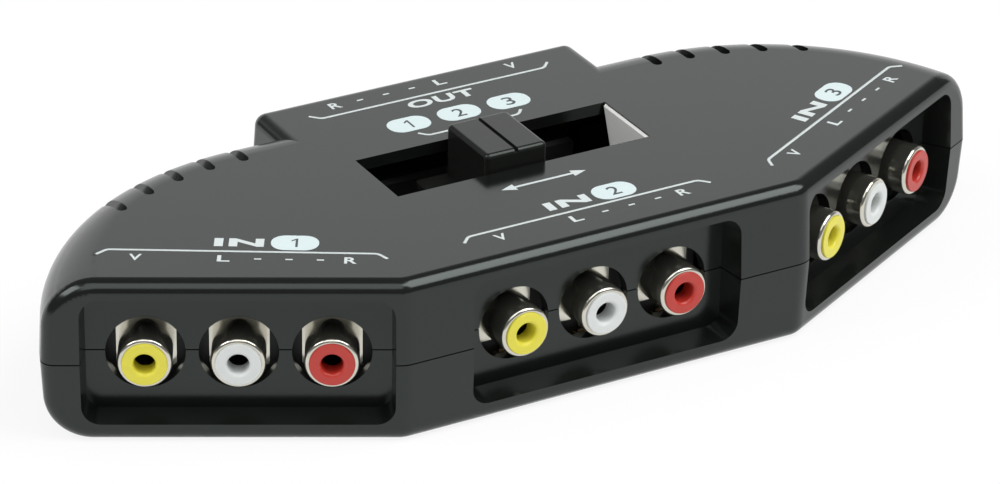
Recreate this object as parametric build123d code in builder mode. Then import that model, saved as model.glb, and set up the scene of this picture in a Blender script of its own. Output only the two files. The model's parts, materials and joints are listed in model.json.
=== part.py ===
"""Three-way selector box for composite video and stereo audio.

Two drafted case shells, split at the parting plane, hold a circuit board with four rows of three
phono jacks and a three-position slide switch. The knob slides along X in a slot in the roof.

Frame: +X along the case, +Y from the middle front face to the rear block, +Z up. The origin is under
the middle of the case, on the surface that it stands on. All sizes are in millimetres.
"""
import os
from math import cos, radians, sin, sqrt, tan

from build123d import *

os.makedirs("parts", exist_ok=True)

# Case outline at the parting plane
case_height = 27.0
case_depth = 64.0
side_face_angle = 28.0
front_corner_margin = 11.6
side_corner_margin = 1.55
side_end_margin = 5.7
end_arc_radius = 48.4
rear_block_margin = 6.2
rear_block_reach = 5.1
rear_block_length = 20.0

# Case walls and edges
wall = 2.0
roof = 2.0
floor = 2.0
wall_draft = 2.8
parting_offset = 0.4
parting_gap = 0.2
front_corner_round = 4.0
back_top_round = 8.5
back_bottom_round = 7.5
front_rim_round = 2.2
rear_block_round = 2.0
rear_block_inner_round = 1.0
lip_height = 1.4
lip_thickness = 0.9
lip_clearance = 0.15
lip_end_gap = 3.0

# Jack recesses
recess_end_margin = 9.6
recess_floor_height = 3.05
recess_roof_margin = 2.8
recess_depth = 5.0
recess_draft = 7.0
recess_corner_round = 3.0
recess_overrun = 3.0
panel_thickness = 2.0
panel_hole_radius = 6.05

# Phono jacks
jack_pitch = 14.0
jack_height = 13.1
jack_setback = 1.2
barrel_radius = 4.15
barrel_wall = 0.65
barrel_rim_round = 0.6
press_gap = 0.02
insert_proud = 0.35
insert_edge_round = 0.15
insert_stub = 1.5
socket_radius = 1.65
socket_mouth_round = 0.6
socket_lead = 2.4
contact_wall = 0.35
contact_slit = 0.5
contact_length = 5.0
contact_cap = 0.4
contact_rod_radius = 0.7
flange_width = 9.1
flange_rise = 4.3
flange_drop = 3.95
flange_thickness = 0.6
flange_gap = 1.2
tail_width = 1.4
tail_thickness = 0.6
tail_reach = 1.2
jack_body_margin = 6.3
jack_body_rise = 5.6
jack_body_length = 9.0
jack_body_chamfer = 0.6

# Circuit board
board_thickness = 1.6
board_drop = 6.6
board_edge_gap = 0.2
board_rear_margin = 3.7
board_hole_gap = 0.5
tail_hole_gap = 0.25
board_post_radius = 2.6
board_post_gap = 2.4
board_post_back = 17.0
board_screw_radius = 1.1
board_screw_head_radius = 2.1
board_screw_head_height = 1.5
board_screw_grip = 2.0

# Case screws and their bosses
boss_radius = 4.2
boss_gap = 1.5
boss_front_depth = 13.0
boss_row_gap = 3.0
screw_radius = 1.45
screw_head_radius = 2.8
screw_head_height = 2.0
screw_seat_height = 8.0
screw_roof_gap = 2.5
screw_gap = 0.05
screw_head_gap = 0.3
screw_tip_room = 1.0
drive_width = 0.9
drive_depth = 1.0

# Slot and knob
slot_length = 44.2
slot_width = 14.0
slot_offset = 1.4
knob_rest_offset = -1.3
knob_travel = 9.0
knob_length = 10.9
knob_width = 12.9
knob_rise = 3.0
knob_round = 0.8
knob_top_round = 0.7
knob_groove_width = 0.7
knob_groove_depth = 0.6
knob_skirt_gap = 0.8
knob_skirt_thickness = 0.8
knob_skirt_drop = 6.5
knob_socket_depth = 4.5

# Slide switch on the board
frame_thickness = 0.4
frame_base_width = 4.0
ear_top_drop = 0.2
ear_side_gap = 0.3
ear_neck_width = 8.4
ear_taper_height = 6.8
ear_gap = 0.05
ear_chamfer = 0.3
switch_body_width = 12.0
switch_body_height = 8.4
switch_wall = 1.2
carriage_end_gap = 0.55
carriage_gap = 0.3
stem_length = 5.0
stem_width = 3.0
stem_gap = 0.1
contact_row_spacing = 6.2
terminal_columns = 5
terminal_pitch = 6.0
pad_size = 1.6
pad_height = 0.2
terminal_pin = 0.7
wiper_gap = 0.3
wiper_width = 1.2
wiper_span = 7.2
wiper_thickness = 0.3
wiper_arch = 0.9
detent_thickness = 0.3
detent_width = 3.0
detent_length = 9.0
detent_pocket_depth = 1.5
detent_nose = 0.2
detent_nose_width = 2.6
detent_notch_radius = 1.6
detent_notch_inset = 0.85

# Vent slots across the rear top edge
vent_count = 5
vent_pitch = 6.0
vent_block_gap = 7.8
vent_width = 1.7
vent_reach = 10.6
vent_depth = 6.0

# Levels and places worked out from the sizes above
front_y = -case_depth / 2
back_y = case_depth / 2
main_back_y = back_y - rear_block_reach
side_cos = cos(radians(side_face_angle))
side_sin = sin(radians(side_face_angle))
recess_width = 2 * (jack_pitch + recess_end_margin)
recess_roof_height = case_height - recess_roof_margin
front_face_width = recess_width + 2 * front_corner_margin
side_row_distance = side_corner_margin + recess_width / 2
side_row_x = front_face_width / 2 + side_cos * side_row_distance
side_row_y = front_y + side_sin * side_row_distance
side_face_length = side_corner_margin + recess_width + side_end_margin
side_end_x = front_face_width / 2 + side_cos * side_face_length
side_end_y = front_y + side_sin * side_face_length
arc_y = main_back_y - end_arc_radius
arc_x = side_end_x - sqrt(end_arc_radius**2 - (side_end_y - arc_y) ** 2)
rear_block_width = recess_width + 2 * rear_block_margin
vent_start = rear_block_width / 2 + vent_block_gap
parting_height = jack_height + parting_offset
roof_underside = case_height - roof
board_top = jack_height - board_drop
board_bottom = board_top - board_thickness
slot_y = slot_offset
panel_back = recess_depth + panel_thickness
flange_front = panel_back + flange_gap
flange_back = flange_front + flange_thickness
barrel_bore_radius = barrel_radius - barrel_wall
insert_radius = barrel_bore_radius - press_gap
insert_front = jack_setback - insert_proud
insert_back = flange_back + insert_stub
contact_front = insert_front + socket_mouth_round + socket_lead
contact_radius = socket_radius + contact_wall
contact_end = contact_front + contact_length
jack_body_back = flange_back + jack_body_length
tail_bottom = -board_drop - board_thickness - tail_reach
jack_body_half = jack_pitch + jack_body_margin
board_inset = panel_back + board_edge_gap
board_rear_width = 2 * (jack_body_half + board_rear_margin)
pilot_depth = roof_underside - parting_height - screw_roof_gap
screw_grip = pilot_depth - screw_tip_room
frame_base_top = board_top + frame_thickness
switch_length = slot_length - 2 * ear_gap
switch_top = frame_base_top + switch_body_height
switch_floor = frame_base_top + switch_wall
switch_ceiling = switch_top - switch_wall
carriage_bottom = switch_floor + pad_height + wiper_gap + wiper_arch
carriage_top = switch_ceiling - carriage_gap
carriage_width = switch_body_width - 2 * switch_wall - 2 * carriage_gap
slide_room = abs(knob_rest_offset) + knob_travel
carriage_length = switch_length - 2 * (switch_wall + slide_room + carriage_end_gap)
knob_skirt_length = slot_length - 2 * (slide_room + knob_skirt_gap)
knob_top = case_height + knob_rise
knob_bottom = case_height - knob_skirt_drop
stem_top = knob_bottom + knob_socket_depth - stem_gap
boss_row_depth = jack_body_back + tail_thickness + boss_row_gap + boss_radius
boss_places = (
    (jack_body_half + boss_gap + boss_radius, front_y + boss_front_depth),
    (side_row_x - side_sin * boss_row_depth, side_row_y + side_cos * boss_row_depth),
)
board_post_places = (
    (slot_length / 2 + frame_thickness + board_post_gap + board_post_radius, slot_y),
    (jack_body_half + board_post_gap + board_post_radius, back_y - board_post_back),
)
boss_spots = [(side * x, y) for x, y in boss_places for side in (-1, 1)]
post_spots = [(side * x, y) for x, y in board_post_places for side in (-1, 1)]
row_spots = [slot_y - contact_row_spacing / 2, slot_y + contact_row_spacing / 2]
terminal_spots = [
    (knob_rest_offset + (column - (terminal_columns - 1) / 2) * terminal_pitch, y)
    for column in range(terminal_columns)
    for y in row_spots
]

# Jack rows: each has a plane on its outer wall, at the jack axes, looking into the case with Y up
row_planes = {
    "input_1": Plane(
        (-side_row_x, side_row_y, jack_height), x_dir=(-side_cos, side_sin, 0), z_dir=(side_sin, side_cos, 0)
    ),
    "input_2": Plane((0, front_y, jack_height), x_dir=(-1, 0, 0), z_dir=(0, 1, 0)),
    "input_3": Plane(
        (side_row_x, side_row_y, jack_height), x_dir=(-side_cos, -side_sin, 0), z_dir=(-side_sin, side_cos, 0)
    ),
    "output": Plane((0, back_y, jack_height), x_dir=(1, 0, 0), z_dir=(0, -1, 0)),
}
signal_spots = {"video": jack_pitch, "left": 0.0, "right": -jack_pitch}


def save(piece, name):
    """Label a finished piece and write its file."""
    piece.label = name
    export_step(piece, f"parts/{name}.step")


def front_corner(inset):
    """Right-hand corner of the middle front face, with the outline moved inwards by inset."""
    return front_face_width / 2 - inset * tan(radians(side_face_angle / 2)), front_y + inset


def front_end(inset):
    """Outer end of the right-hand front face, where it meets the end arc."""
    x, y = front_corner(inset)
    along = (x - arc_x) * side_cos + (y - arc_y) * side_sin
    beyond = (x - arc_x) ** 2 + (y - arc_y) ** 2 - (end_arc_radius - inset) ** 2
    run = sqrt(along**2 - beyond) - along
    return x + run * side_cos, y + run * side_sin


def case_outline(inset, height, up=1):
    """Plan of the main case at the given height: three front faces, two end arcs, a straight back."""
    corner_x, corner_y = front_corner(inset)
    end_x, end_y = front_end(inset)
    radius = end_arc_radius - inset
    mid_x = arc_x + radius * cos(radians(45))
    mid_y = arc_y + radius * sin(radians(45))
    rear_y = arc_y + radius
    with BuildSketch(Plane((0, 0, height), x_dir=(1, 0, 0), z_dir=(0, 0, up))) as plan:
        with BuildLine():
            Polyline(
                (-end_x, up * end_y),
                (-corner_x, up * corner_y),
                (corner_x, up * corner_y),
                (end_x, up * end_y),
            )
            ThreePointArc((end_x, up * end_y), (mid_x, up * mid_y), (arc_x, up * rear_y))
            Line((arc_x, up * rear_y), (-arc_x, up * rear_y))
            ThreePointArc((-arc_x, up * rear_y), (-mid_x, up * mid_y), (-end_x, up * end_y))
        make_face()
    return plan.sketch


def is_front_face(face):
    """True for the faces that look forwards, with at most the wall's draft."""
    normal = face.normal_at(face.center())
    return normal.Y < -0.5 and abs(normal.Z) < 0.3


def is_upright(edge):
    """True for an edge that runs mostly along Z."""
    return abs(edge.tangent_at(0.5).Z) > 0.5


def is_front_corner(edge):
    """True for the upright edges between the middle front face and its neighbours."""
    middle = edge.center()
    return is_upright(edge) and abs(middle.X) < front_face_width / 2 + wall and middle.Y < 0


def main_case(inset, low, high, has_rims):
    """Solid of the main case, moved inwards by inset, with its big rear rounds and its front rims."""
    with BuildPart() as case:
        extrude(case_outline(inset, parting_height), amount=high - parting_height, taper=wall_draft)
        extrude(case_outline(inset, parting_height, -1), amount=parting_height - low, taper=wall_draft)
        if has_rims:
            fillet(case.edges().filter_by(is_front_corner), radius=front_corner_round)
        top_edges = case.faces().sort_by(Axis.Z)[-1].edges()
        fillet(top_edges.filter_by(lambda edge: edge.center().Y > 0), radius=back_top_round - inset)
        bottom_edges = case.faces().sort_by(Axis.Z)[0].edges()
        fillet(bottom_edges.filter_by(lambda edge: edge.center().Y > 0), radius=back_bottom_round - inset)
        if has_rims:
            edges = [edge for face in case.faces().filter_by(is_front_face) for edge in face.edges()]
            rims = [edge for edge in edges if sum(edge.is_same(other) for other in edges) == 1]
            fillet(rims, radius=front_rim_round)
    return case.part


def rear_block(inset, low, high, corner_round, has_rims):
    """Block behind the case that holds the output jacks, moved inwards by inset."""
    middle = back_y - inset - rear_block_length / 2
    with BuildPart() as block:
        for up, rise in ((1, high - parting_height), (-1, parting_height - low)):
            with BuildSketch(Plane((0, middle, parting_height), x_dir=(1, 0, 0), z_dir=(0, 0, up))):
                Rectangle(rear_block_width - 2 * inset, rear_block_length)
            extrude(amount=rise, taper=wall_draft)
        rear_uprights = block.edges().filter_by(is_upright).filter_by(lambda edge: edge.center().Y > middle)
        fillet(rear_uprights, radius=corner_round)
        if has_rims:
            for level in (-1, 0):
                edges = block.faces().sort_by(Axis.Z)[level].edges()
                rims = edges.filter_by(lambda edge: edge.center().Y > middle - rear_block_length / 4)
                fillet(rims, radius=corner_round)
    return block.part


def recess_mouth(plane, grow):
    """Rounded mouth of a jack recess on its wall plane, grown outwards by grow."""
    low = recess_floor_height - jack_height - grow
    high = recess_roof_height - jack_height + grow
    with BuildSketch(plane) as mouth:
        with Locations((0, (low + high) / 2)):
            RectangleRounded(recess_width + 2 * grow, high - low, recess_corner_round + grow)
    return mouth.sketch


def recess_blocks(body):
    """Material around the recesses: their side walls and the panels that the jacks look through."""
    with BuildPart() as blocks:
        for plane in row_planes.values():
            extrude(recess_mouth(plane, wall), amount=panel_back)
        add(body, mode=Mode.INTERSECT)
    return blocks.part


def recess_voids():
    """The open space of the four recesses, with the jack holes in their panels."""
    with BuildPart() as voids:
        for plane in row_planes.values():
            extrude(recess_mouth(plane, 0), amount=recess_depth, taper=recess_draft)
            extrude(recess_mouth(plane, 0), amount=-recess_overrun)
            with BuildSketch(plane):
                with Locations(*[(x, 0) for x in signal_spots.values()]):
                    Circle(panel_hole_radius)
            extrude(amount=panel_back + wall)
    return voids.part


def vent_voids():
    """Parallel slots that run off the rear top edge."""
    with BuildPart() as voids:
        with BuildSketch(Plane.XY.offset(case_height - vent_depth)):
            for index in range(vent_count):
                x = vent_start + index * vent_pitch
                edge_y = arc_y + sqrt(end_arc_radius**2 - (x - arc_x) ** 2)
                with Locations((x, edge_y), (-x, edge_y)):
                    SlotCenterToCenter(2 * vent_reach - vent_width, vent_width, rotation=90)
        extrude(amount=2 * vent_depth)
    return voids.part


def lip_ring(outer_inset, inner_inset, height):
    """Band along the two end arcs, from the parting plane up, where the shells locate each other."""
    with BuildPart() as ring:
        extrude(case_outline(outer_inset, parting_height), amount=height)
        extrude(case_outline(inner_inset, parting_height), amount=height, mode=Mode.SUBTRACT)
        front_limit = front_end(0)[1] + lip_end_gap
        side_limit = rear_block_width / 2 + lip_end_gap
        with BuildSketch(Plane.XY.offset(parting_height)):
            with Locations((side_limit, front_limit), (-side_limit - case_depth, front_limit)):
                Rectangle(case_depth, case_depth, align=(Align.MIN, Align.MIN))
        extrude(amount=height, mode=Mode.INTERSECT)
    return ring.part


def case_walls():
    """The whole hollow case before it is cut at the parting plane."""
    outer = main_case(0, 0, case_height, True)
    outer += rear_block(0, 0, case_height, rear_block_round, True)
    cavity = main_case(wall, floor, roof_underside, False)
    cavity += rear_block(wall, floor, roof_underside, rear_block_inner_round, False)
    with BuildPart() as walls:
        add(outer)
        add(cavity, mode=Mode.SUBTRACT)
        add(recess_blocks(outer))
        add(recess_voids(), mode=Mode.SUBTRACT)
        add(vent_voids(), mode=Mode.SUBTRACT)
    return walls.part


walls_part = case_walls()

# Upper shell: roof with the knob slot, vents, screw bosses and the rebate for the lip
with BuildPart() as top_shell:
    add(walls_part)
    split(bisect_by=Plane.XY.offset(parting_height + parting_gap / 2), keep=Keep.TOP)
    rebate = lip_ring(wall - lip_thickness - lip_clearance, wall + lip_clearance, lip_height + lip_clearance)
    add(rebate, mode=Mode.SUBTRACT)
    with BuildSketch(Plane.XY.offset(roof_underside)):
        with Locations((0, slot_y)):
            Rectangle(slot_length + 2 * (frame_thickness + ear_gap), slot_width)
    extrude(amount=roof, mode=Mode.SUBTRACT)
    with BuildSketch(Plane.XY.offset(parting_height)):
        with Locations(*boss_spots):
            Circle(boss_radius)
    extrude(amount=roof_underside - parting_height)
    with BuildSketch(Plane.XY.offset(parting_height)):
        with Locations(*boss_spots):
            Circle(screw_radius + screw_gap)
    extrude(amount=pilot_depth, mode=Mode.SUBTRACT)
save(top_shell.part, "top_shell")

# Lower shell: floor, lip, screw bosses with deep counterbores and posts under the board
with BuildPart() as bottom_shell:
    add(walls_part)
    split(bisect_by=Plane.XY.offset(parting_height - parting_gap / 2), keep=Keep.BOTTOM)
    add(lip_ring(wall - lip_thickness, wall, lip_height))
    with BuildSketch(Plane.XY.offset(floor)):
        with Locations(*boss_spots):
            Circle(boss_radius)
    extrude(amount=parting_height - floor)
    with BuildSketch(Plane.XY.offset(floor)):
        with Locations(*post_spots):
            Circle(board_post_radius)
    extrude(amount=board_bottom - floor)
    with BuildSketch():
        with Locations(*boss_spots):
            Circle(screw_head_radius + screw_head_gap)
    extrude(amount=screw_seat_height, mode=Mode.SUBTRACT)
    with BuildSketch():
        with Locations(*boss_spots):
            Circle(screw_radius + screw_head_gap)
    extrude(amount=parting_height, mode=Mode.SUBTRACT)
    with BuildSketch(Plane.XY.offset(board_bottom)):
        with Locations(*post_spots):
            Circle(board_screw_radius + screw_gap)
    extrude(amount=-board_screw_grip - screw_gap, mode=Mode.SUBTRACT)
save(bottom_shell.part, "bottom_shell")


def jack_plane(row, signal, depth):
    """Plane across a jack's axis at the given depth behind the outer wall, looking into the case."""
    wall_plane = row_planes[row]
    spot = wall_plane.origin + wall_plane.x_dir * signal_spots[signal] + wall_plane.z_dir * depth
    return Plane(spot, x_dir=wall_plane.x_dir, z_dir=wall_plane.z_dir)


def jack_shell(row, signal):
    """Drawn barrel with its flange plate and the ground tail that is soldered into the board."""
    with BuildPart() as shell:
        with BuildSketch(jack_plane(row, signal, jack_setback)):
            Circle(barrel_radius)
            Circle(barrel_bore_radius, mode=Mode.SUBTRACT)
        extrude(amount=flange_front - jack_setback)
        front = shell.faces().sort_by(Axis(row_planes[row].origin, row_planes[row].z_dir))[0]
        fillet(front.edges().sort_by(SortBy.RADIUS)[-1], radius=barrel_rim_round)
        with BuildSketch(jack_plane(row, signal, flange_front)):
            with Locations((0, (flange_rise - flange_drop) / 2)):
                Rectangle(flange_width, flange_rise + flange_drop)
            with Locations((0, tail_bottom)):
                Rectangle(tail_width, -tail_bottom, align=(Align.CENTER, Align.MIN))
            Circle(barrel_bore_radius, mode=Mode.SUBTRACT)
        extrude(amount=flange_thickness)
    return shell.part


def jack_insert(row, signal):
    """Coloured insulator, with the socket in its front and a seat for the centre contact behind."""
    with BuildPart() as insert:
        with BuildSketch(jack_plane(row, signal, insert_front)):
            Circle(insert_radius)
            Circle(socket_radius, mode=Mode.SUBTRACT)
        extrude(amount=contact_front - insert_front)
        front = insert.faces().sort_by(Axis(row_planes[row].origin, row_planes[row].z_dir))[0]
        fillet(front.edges().sort_by(SortBy.RADIUS)[0], radius=socket_mouth_round)
        front = insert.faces().sort_by(Axis(row_planes[row].origin, row_planes[row].z_dir))[0]
        fillet(front.edges().sort_by(SortBy.RADIUS)[-1], radius=insert_edge_round)
        with BuildSketch(jack_plane(row, signal, contact_front)):
            Circle(insert_radius)
            Circle(contact_radius + press_gap, mode=Mode.SUBTRACT)
        extrude(amount=insert_back - contact_front)
    return insert.part


def jack_contact(row, signal):
    """Split centre contact: tube, closed end, rod through the jack body and solder tail."""
    cap_back = contact_end + contact_cap
    with BuildPart() as contact:
        with BuildSketch(jack_plane(row, signal, contact_front)):
            Circle(contact_radius)
            Circle(socket_radius, mode=Mode.SUBTRACT)
            Rectangle(contact_slit, 3 * contact_radius, mode=Mode.SUBTRACT)
        extrude(amount=contact_length)
        with BuildSketch(jack_plane(row, signal, contact_end)):
            Circle(contact_radius)
        extrude(amount=contact_cap)
        with BuildSketch(jack_plane(row, signal, cap_back)):
            Circle(contact_rod_radius)
        extrude(amount=jack_body_back - cap_back)
        with BuildSketch(jack_plane(row, signal, jack_body_back)):
            with Locations((0, tail_bottom)):
                Rectangle(tail_width, contact_rod_radius - tail_bottom, align=(Align.CENTER, Align.MIN))
        extrude(amount=tail_thickness)
    return contact.part


def jack_body(row):
    """Moulded block behind a row of three jacks, standing on the board."""
    spots = [(x, 0) for x in signal_spots.values()]
    start = row_planes[row].offset(flange_back)
    with BuildPart() as body:
        with BuildSketch(start):
            with Locations((0, -board_drop)):
                Rectangle(2 * jack_body_half, board_drop + jack_body_rise, align=(Align.CENTER, Align.MIN))
        extrude(amount=jack_body_length)
        top_edges = body.faces().sort_by(Axis.Z)[-1].edges()
        chamfer(top_edges, length=jack_body_chamfer)
        with BuildSketch(start):
            with Locations(*spots):
                Circle(insert_radius + press_gap)
        extrude(amount=insert_stub, mode=Mode.SUBTRACT)
        with BuildSketch(start):
            with Locations(*spots):
                Circle(contact_rod_radius + press_gap)
        extrude(amount=jack_body_length, mode=Mode.SUBTRACT)
    return body.part


for row in row_planes:
    save(jack_body(row), f"{row}_jack_body")
    for signal in signal_spots:
        save(jack_shell(row, signal), f"{row}_{signal}_shell")
        save(jack_insert(row, signal), f"{row}_{signal}_insert")
        save(jack_contact(row, signal), f"{row}_{signal}_contact")

# Circuit board: follows the front faces and end arcs inside the panels, with a tongue to the output row
with BuildPart() as circuit_board:
    extrude(case_outline(board_inset, board_bottom), amount=board_thickness)
    with BuildSketch(Plane.XY.offset(board_bottom)):
        with Locations((0, back_y - board_inset)):
            Rectangle(board_rear_width, case_depth / 2, align=(Align.CENTER, Align.MAX))
    extrude(amount=board_thickness)
    with BuildSketch(Plane.XY.offset(board_bottom)):
        with Locations(*boss_spots):
            Circle(boss_radius + board_hole_gap)
        with Locations(*post_spots):
            Circle(board_screw_radius + tail_hole_gap)
        with Locations(*terminal_spots):
            Rectangle(terminal_pin + 2 * tail_hole_gap, terminal_pin + 2 * tail_hole_gap)
    extrude(amount=board_thickness, mode=Mode.SUBTRACT)
    for row in row_planes:
        for signal in signal_spots:
            for depth in (flange_front, jack_body_back):
                with BuildSketch(jack_plane(row, signal, depth - tail_hole_gap)):
                    with Locations((0, -board_drop)):
                        Rectangle(tail_width + 2 * tail_hole_gap, 3 * board_thickness)
                extrude(amount=tail_thickness + 2 * tail_hole_gap, mode=Mode.SUBTRACT)
save(circuit_board.part, "circuit_board")


def screw_set(spots, head_low, head_radius, head_height, radius, length, points_up):
    """Pan-head screws with a cross drive, heads below when they point up and above when they don't."""
    turn = 1 if points_up else -1
    start = Plane((0, 0, head_low), x_dir=(1, 0, 0), z_dir=(0, 0, turn))
    places = [(x, turn * y) for x, y in spots]
    with BuildPart() as screws:
        with BuildSketch(start):
            with Locations(*places):
                Circle(head_radius)
        extrude(amount=head_height)
        with BuildSketch(start.offset(head_height)):
            with Locations(*places):
                Circle(radius)
        extrude(amount=length)
        with BuildSketch(start):
            with Locations(*places):
                Rectangle(2 * head_radius - drive_width, drive_width)
                Rectangle(drive_width, 2 * head_radius - drive_width)
        extrude(amount=drive_depth, mode=Mode.SUBTRACT)
    return screws.part


save(
    screw_set(
        boss_spots,
        screw_seat_height - screw_head_height,
        screw_head_radius,
        screw_head_height,
        screw_radius,
        parting_height - screw_seat_height + screw_grip,
        True,
    ),
    "case_screws",
)
save(
    screw_set(
        post_spots,
        board_top + board_screw_head_height,
        board_screw_head_radius,
        board_screw_head_height,
        board_screw_radius,
        board_thickness + board_screw_grip,
        False,
    ),
    "board_screws",
)

# Switch frame: a steel strip on the board, bent up into two flared ears that close the roof slot's ends
ear_top = case_height - ear_top_drop
ear_flare = ear_top - ear_taper_height
ear_top_width = slot_width - 2 * ear_side_gap
with BuildPart() as switch_frame:
    with BuildSketch(Plane.XY.offset(board_top)):
        with Locations((0, slot_y)):
            Rectangle(slot_length + 2 * frame_thickness, frame_base_width)
    extrude(amount=frame_thickness)
    for side in (-1, 1):
        with BuildSketch(Plane.YZ.offset(side * (slot_length + frame_thickness) / 2)):
            with BuildLine():
                Polyline(
                    (slot_y - ear_neck_width / 2, board_top),
                    (slot_y + ear_neck_width / 2, board_top),
                    (slot_y + ear_neck_width / 2, ear_flare),
                    (slot_y + ear_top_width / 2, ear_top),
                    (slot_y - ear_top_width / 2, ear_top),
                    (slot_y - ear_neck_width / 2, ear_flare),
                    close=True,
                )
            make_face()
        extrude(amount=frame_thickness / 2, both=True)
    ear_rims = switch_frame.faces().sort_by(Axis.Z)[-2:].edges().filter_by(Axis.Y)
    inner_rims = ear_rims.sort_by(lambda edge: abs(edge.center().X))[:2]
    chamfer(inner_rims, length=ear_chamfer)
save(switch_frame.part, "switch_frame")

# Switch body: a hollow housing on the frame's base, open below its floor for the pins and above for the stem
inner_width = switch_body_width - 2 * switch_wall
front_wall_y = slot_y - inner_width / 2
notch_y = front_wall_y + detent_notch_inset
notch_spots = [(knob_rest_offset + step * knob_travel, notch_y) for step in (-1, 0, 1)]
with BuildPart() as switch_body:
    with BuildSketch(Plane.XY.offset(frame_base_top)):
        with Locations((0, slot_y)):
            Rectangle(switch_length, switch_body_width)
    extrude(amount=switch_body_height)
    with BuildSketch(Plane.XY.offset(switch_floor)):
        with Locations((0, slot_y)):
            Rectangle(switch_length - 2 * switch_wall, inner_width)
        with Locations(*notch_spots):
            Circle(detent_notch_radius)
    extrude(amount=switch_ceiling - switch_floor, mode=Mode.SUBTRACT)
    with BuildSketch(Plane.XY.offset(switch_ceiling)):
        with Locations((knob_rest_offset, slot_y)):
            Rectangle(stem_length + 2 * (knob_travel + carriage_gap), stem_width + 2 * carriage_gap)
    extrude(amount=switch_wall, mode=Mode.SUBTRACT)
    with BuildSketch(Plane.XY.offset(frame_base_top)):
        with Locations(*terminal_spots):
            Rectangle(terminal_pin + 2 * press_gap, terminal_pin + 2 * press_gap)
    extrude(amount=switch_wall, mode=Mode.SUBTRACT)
save(switch_body.part, "switch_body")

# Switch terminals: two rows of pads on the body's floor, with pins through the board
with BuildPart() as switch_terminals:
    with BuildSketch(Plane.XY.offset(switch_floor)):
        with Locations(*terminal_spots):
            Rectangle(pad_size, pad_size)
    extrude(amount=pad_height)
    with BuildSketch(Plane.XY.offset(switch_floor)):
        with Locations(*terminal_spots):
            Rectangle(terminal_pin, terminal_pin)
    extrude(amount=board_bottom - tail_reach - switch_floor)
save(switch_terminals.part, "switch_terminals")

# Switch carriage: slides in the body, with the stem for the knob and a pocket for the detent leaf
carriage_front = slot_y - carriage_width / 2
carriage_middle = (carriage_bottom + carriage_top) / 2
with BuildPart() as switch_carriage:
    with BuildSketch(Plane.XY.offset(carriage_bottom)):
        with Locations((knob_rest_offset, slot_y)):
            Rectangle(carriage_length, carriage_width)
    extrude(amount=carriage_top - carriage_bottom)
    with BuildSketch(Plane.XY.offset(carriage_top)):
        with Locations((knob_rest_offset, slot_y)):
            Rectangle(stem_length, stem_width)
    extrude(amount=stem_top - carriage_top)
    with BuildSketch(Plane.XY.offset(carriage_middle)):
        with Locations((knob_rest_offset, carriage_front)):
            Rectangle(detent_length + 2 * carriage_gap, 2 * detent_pocket_depth)
    extrude(amount=detent_width / 2 + press_gap, both=True, mode=Mode.SUBTRACT)
save(switch_carriage.part, "switch_carriage")

# Switch wipers: an arched bridge under the carriage over each row of pads
wiper_low = switch_floor + pad_height + wiper_gap + wiper_thickness / 2
wiper_high = carriage_bottom - wiper_thickness / 2
with BuildPart() as switch_wipers:
    for y in row_spots:
        with BuildSketch(Plane.XZ.offset(-y)):
            with BuildLine():
                Polyline(
                    (knob_rest_offset - wiper_span / 2 - wiper_arch, wiper_low + wiper_arch / 3),
                    (knob_rest_offset - wiper_span / 2, wiper_low),
                    (knob_rest_offset - wiper_span / 4, wiper_high),
                    (knob_rest_offset + wiper_span / 4, wiper_high),
                    (knob_rest_offset + wiper_span / 2, wiper_low),
                    (knob_rest_offset + wiper_span / 2 + wiper_arch, wiper_low + wiper_arch / 3),
                )
            trace(line_width=wiper_thickness)
        extrude(amount=wiper_width / 2, both=True)
save(switch_wipers.part, "switch_wipers")

# Detent leaf: its ends rest in the carriage's pocket and its nose points into a notch of the body
leaf_back = carriage_front + detent_pocket_depth - detent_thickness / 2
leaf_shoulder = front_wall_y + carriage_gap + detent_thickness
leaf_nose = front_wall_y - detent_nose + detent_thickness / 2
with BuildPart() as detent_spring:
    with BuildSketch(Plane.XY.offset(carriage_middle)):
        with BuildLine():
            Polyline(
                (knob_rest_offset - detent_length / 2, leaf_back),
                (knob_rest_offset - detent_nose_width / 2, leaf_shoulder),
                (knob_rest_offset, leaf_nose),
                (knob_rest_offset + detent_nose_width / 2, leaf_shoulder),
                (knob_rest_offset + detent_length / 2, leaf_back),
            )
        trace(line_width=detent_thickness)
    extrude(amount=detent_width / 2, both=True)
save(detent_spring.part, "detent_spring")

# Selector knob: a block with a finger groove, a skirt that hides the works, and a socket for the stem
with BuildPart() as selector_knob:
    with BuildSketch(Plane.XY.offset(knob_bottom)):
        with Locations((knob_rest_offset, slot_y)):
            RectangleRounded(knob_length, knob_width, knob_round)
    extrude(amount=knob_top - knob_bottom)
    fillet(selector_knob.faces().sort_by(Axis.Z)[-1].edges(), radius=knob_top_round)
    with BuildSketch(Plane.XY.offset(knob_bottom)):
        with Locations((knob_rest_offset, slot_y)):
            RectangleRounded(knob_skirt_length, knob_width, knob_round)
    extrude(amount=knob_skirt_thickness)
    with BuildSketch(Plane.XY.offset(knob_bottom)):
        with Locations((knob_rest_offset, slot_y)):
            Rectangle(stem_length + 2 * stem_gap, stem_width + 2 * stem_gap)
    extrude(amount=knob_socket_depth, mode=Mode.SUBTRACT)
    with BuildSketch(Plane.XY.offset(knob_top - knob_groove_depth)):
        with Locations((knob_rest_offset, slot_y)):
            Rectangle(knob_groove_width, 2 * knob_width)
    extrude(amount=2 * knob_groove_depth, mode=Mode.SUBTRACT)
save(selector_knob.part, "selector_knob")
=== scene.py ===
"""Finishes, print and studio of a three-way selector box for video and audio.

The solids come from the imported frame. This script gives each of them its finish, prints the roof,
adds the solder on the board and sets the box on a white floor in front of the camera.
"""

import json
from functools import reduce
from math import atan2, cos, pi, radians, sin

import bmesh
import bpy
from bpy.props import FloatProperty, FloatVectorProperty, PointerProperty
from mathutils import Matrix, Vector


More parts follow.
